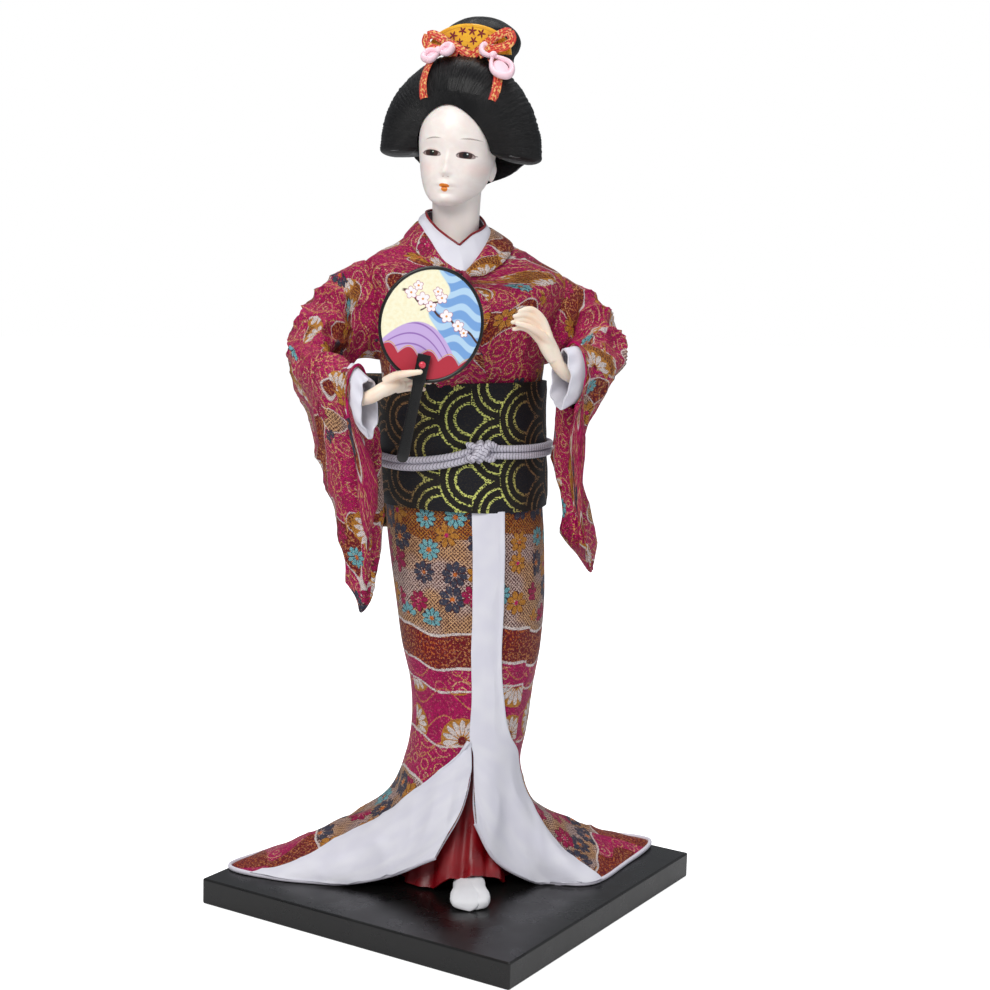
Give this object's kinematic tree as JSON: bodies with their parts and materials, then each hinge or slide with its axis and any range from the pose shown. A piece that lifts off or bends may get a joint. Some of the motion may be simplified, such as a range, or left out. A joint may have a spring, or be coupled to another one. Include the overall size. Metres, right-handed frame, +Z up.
{
  "type": "geisha figurine",
  "caption": "Standing doll in a long brocade kimono with trailing hem, sash, round fan and high hairdo, on a square black stand.",
  "frame": {"origin": "bottom centre of the square board, on the surface it stands on", "axes": "+Z up through the doll's head; the board's corners lie on X and Y; the doll's front edge of the skirt faces -Y"},
  "size_m": [0.1748, 0.1748, 0.3023],
  "materials": {
    "black_lacquer": "black lacquer on wood, half gloss",
    "dowel_wood": "bare turned wood",
    "stuffing": "packed stuffing in plain cloth",
    "brocade": "woven brocade, magenta and gold with flowers",
    "white_satin": "white satin with a lilac tint",
    "red_satin": "red satin",
    "obi_brocade": "black brocade with yellow-green arcs",
    "silver_cord": "silver-grey braid",
    "skin": "smooth pale resin, painted face",
    "hair": "combed black fibre, set and glossy",
    "comb_yellow": "yellow with small dark-red leaves",
    "ribbon_red": "red and gold woven ribbon",
    "bow_pink": "pale pink satin",
    "fan_paper": "printed paper",
    "wire": "drawn steel wire"
  },
  "bodies": {
    "root": {"armature_wire": "wire", "base_board": "black_lacquer", "body_core": "stuffing", "collar_piping": "red_satin", "cord_knot": "silver_cord", "cord_lower": "silver_cord", "cord_upper": "silver_cord", "fan_handle": "black_lacquer", "fan_leaf": "fan_paper", "fan_rim": "black_lacquer", "fan_rivet": "comb_yellow", "front_band": "white_satin", "hair_back": "hair", "hair_comb": "comb_yellow", "hair_ribbon_left": "ribbon_red", "hair_ribbon_right": "ribbon_red", "hair_roll": "hair", "hair_topknot": "hair", "hand_left": "skin", "hand_right": "skin", "head": "skin", "kimono_bodice": "brocade", "kimono_skirt": "brocade", "kimono_sleeve_left": "brocade", "kimono_sleeve_right": "brocade", "left_lapel": "white_satin", "obi_bow": "obi_brocade", "obi_sash": "obi_brocade", "pink_bow_left": "bow_pink", "pink_bow_right": "bow_pink", "red_underskirt": "red_satin", "support_dowel": "dowel_wood", "tabi_foot": "white_satin", "white_collar": "white_satin", "white_cuff_left": "white_satin", "white_cuff_right": "white_satin", "wing_edge_left": "black_lacquer", "wing_edge_right": "black_lacquer"}
  },
  "joints": []
}
